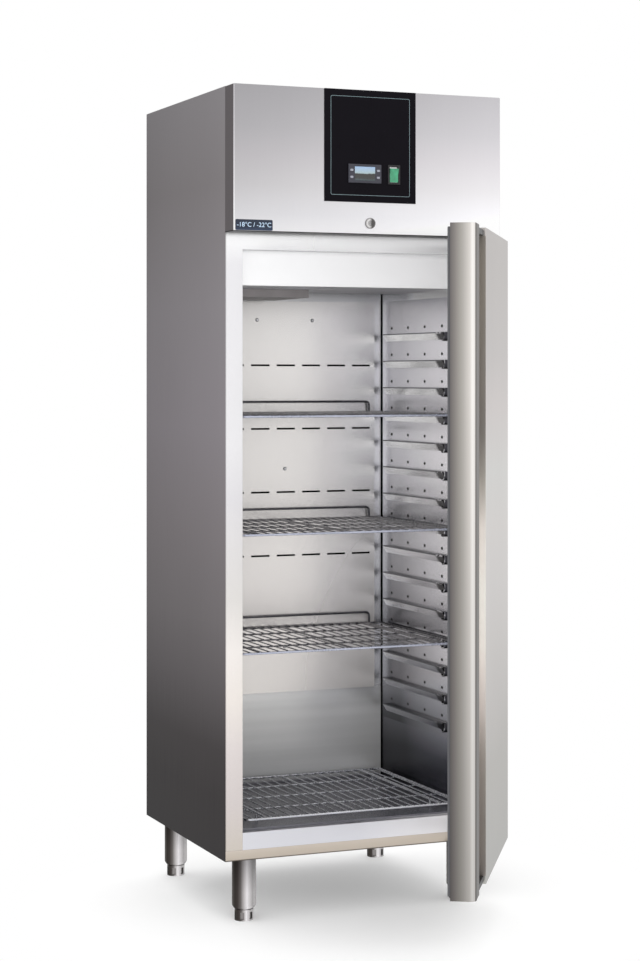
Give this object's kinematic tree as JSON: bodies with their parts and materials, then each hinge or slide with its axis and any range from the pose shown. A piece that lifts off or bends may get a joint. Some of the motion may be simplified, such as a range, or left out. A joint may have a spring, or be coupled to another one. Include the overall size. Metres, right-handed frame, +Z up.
{
  "type": "upright freezer",
  "caption": "Upright catering freezer: insulated steel cabinet on legs, solid hinged door with full-height grip, wire shelves, top machine bay and control fascia.",
  "frame": {"origin": "on the floor, under the middle of the plan of the whole object with its door open as pictured", "axes": "+Z up, +X to the right when facing the front, +Y from the front to the back"},
  "size_m": [0.7432, 1.2704, 2.03],
  "materials": {
    "brushed_steel": "fine vertical brushing, satin",
    "lock_steel": "nickel plated",
    "grip_steel": "satin",
    "liner_steel": "bright satin",
    "galvanised_steel": "galvanised, semi matt",
    "wire": "plated and clear coated",
    "foam": "rigid foam",
    "white_panel": "white, satin",
    "grey_plastic": "moulded",
    "fins": "bare",
    "black_paint": "semi gloss",
    "rubber": "matt",
    "copper": "bare copper",
    "box_plastic": "moulded",
    "black_plastic": "moulded",
    "black_plate": "satin black",
    "controller_plastic": "dark grey",
    "screen": "glossy display window",
    "key_plastic": "soft keys",
    "green_lens": "translucent green",
    "label": "printed film",
    "gasket_rubber": "soft grey",
    "bush_plastic": "acetal",
    "foot_steel": "turned"
  },
  "bodies": {
    "cabinet": {"left_side_panel": "brushed_steel", "right_side_panel": "brushed_steel", "back_panel": "galvanised_steel", "bottom_panel": "galvanised_steel", "bay_floor": "galvanised_steel", "top_cover": "brushed_steel", "rear_grille": "galvanised_steel", "cabinet_insulation": "foam", "inner_liner": "liner_steel", "front_frame": "brushed_steel", "sill": "brushed_steel", "left_rail_panel": "liner_steel", "right_rail_panel": "liner_steel", "rear_duct": "liner_steel", "duct_screws": "wire", "floor_grid": "wire", "inner_head_panel": "white_panel", "evaporator_cover": "grey_plastic", "evaporator_coil": "fins", "evaporator_fan_motor": "black_paint", "drip_tray": "grey_plastic", "compressor": "black_paint", "compressor_mounts": "rubber", "condenser_coil": "fins", "condenser_fan_motor": "black_paint", "refrigerant_pipes": "copper", "filter_drier": "copper", "electrical_box": "box_plastic", "cord_gland": "black_plastic", "fascia": "brushed_steel", "control_plate": "black_plate", "controller_body": "controller_plastic", "controller_screen": "screen", "switch_bezel": "black_plastic", "lock_housing": "lock_steel", "range_label": "label", "hinge_brackets": "galvanised_steel", "leg_tubes": "brushed_steel"},
    "door": {"door_skin": "brushed_steel", "door_insulation": "foam", "door_inner_pan": "liner_steel", "door_gasket": "gasket_rubber", "grip_channel": "grip_steel", "door_end_caps": "black_plastic", "hinge_bushes": "bush_plastic"},
    "upper_shelf": {"upper_shelf": "wire"},
    "middle_shelf": {"middle_shelf": "wire"},
    "lower_shelf": {"lower_shelf": "wire"},
    "evaporator_fan": {"evaporator_fan": "grey_plastic"},
    "condenser_fan": {"condenser_fan": "grey_plastic"},
    "key_1": {"key_1": "key_plastic"},
    "key_2": {"key_2": "key_plastic"},
    "key_3": {"key_3": "key_plastic"},
    "key_4": {"key_4": "key_plastic"},
    "switch_rocker": {"switch_rocker": "green_lens"},
    "lock_cylinder": {"lock_cylinder": "lock_steel"},
    "foot_front_left": {"foot_front_left": "foot_steel"},
    "foot_front_right": {"foot_front_right": "foot_steel"},
    "foot_back_left": {"foot_back_left": "foot_steel"},
    "foot_back_right": {"foot_back_right": "foot_steel"}
  },
  "joints": [
    {"name": "door_hinge", "type": "hinge", "parent": "cabinet", "child": "door", "pos_m": [0.32444, -0.02676, 0.16], "axis": [0, 0, 1], "range_deg": [-58.2, 46.8]},
    {"name": "upper_shelf_slide", "type": "slide", "parent": "cabinet", "child": "upper_shelf", "axis": [0, -1, 0], "range_m": [0, 0.05]},
    {"name": "middle_shelf_slide", "type": "slide", "parent": "cabinet", "child": "middle_shelf", "axis": [0, -1, 0], "range_m": [0, 0.05]},
    {"name": "lower_shelf_slide", "type": "slide", "parent": "cabinet", "child": "lower_shelf", "axis": [0, -1, 0], "range_m": [0, 0.05]},
    {"name": "evaporator_fan_spin", "type": "hinge", "parent": "cabinet", "child": "evaporator_fan", "pos_m": [-0.10656, 0.14525, 1.592], "axis": [0, 0, 1], "continuous": true},
    {"name": "condenser_fan_spin", "type": "hinge", "parent": "cabinet", "child": "condenser_fan", "pos_m": [0.15844, 0.48524, 1.8512], "axis": [0, -1, 0], "continuous": true},
    {"name": "key_1_press", "type": "slide", "parent": "cabinet", "child": "key_1", "axis": [0, 1, 0], "range_m": [0, 0.0008], "stiffness_N_per_m": 800},
    {"name": "key_2_press", "type": "slide", "parent": "cabinet", "child": "key_2", "axis": [0, 1, 0], "range_m": [0, 0.0008], "stiffness_N_per_m": 800},
    {"name": "key_3_press", "type": "slide", "parent": "cabinet", "child": "key_3", "axis": [0, 1, 0], "range_m": [0, 0.0008], "stiffness_N_per_m": 800},
    {"name": "key_4_press", "type": "slide", "parent": "cabinet", "child": "key_4", "axis": [0, 1, 0], "range_m": [0, 0.0008], "stiffness_N_per_m": 800},
    {"name": "switch_rock", "type": "hinge", "parent": "cabinet", "child": "switch_rocker", "pos_m": [0.04544, -0.06076, 1.825], "axis": [1, 0, 0], "range_deg": [-18, 0]},
    {"name": "lock_turn", "type": "hinge", "parent": "cabinet", "child": "lock_cylinder", "pos_m": [-0.01656, -0.06475, 1.704], "axis": [0, 1, 0], "range_deg": [0, 90]},
    {"name": "foot_front_left_turn", "type": "hinge", "parent": "cabinet", "child": "foot_front_left", "pos_m": [-0.30556, 0.04525, 0], "axis": [0, 0, 1], "range_deg": [-1800, 1800]},
    {"name": "foot_front_right_turn", "type": "hinge", "parent": "cabinet", "child": "foot_front_right", "pos_m": [0.27244, 0.04525, 0], "axis": [0, 0, 1], "range_deg": [-1800, 1800]},
    {"name": "foot_back_left_turn", "type": "hinge", "parent": "cabinet", "child": "foot_back_left", "pos_m": [-0.30556, 0.58525, 0], "axis": [0, 0, 1], "range_deg": [-1800, 1800]},
    {"name": "foot_back_right_turn", "type": "hinge", "parent": "cabinet", "child": "foot_back_right", "pos_m": [0.27244, 0.58525, 0], "axis": [0, 0, 1], "range_deg": [-1800, 1800]}
  ]
}
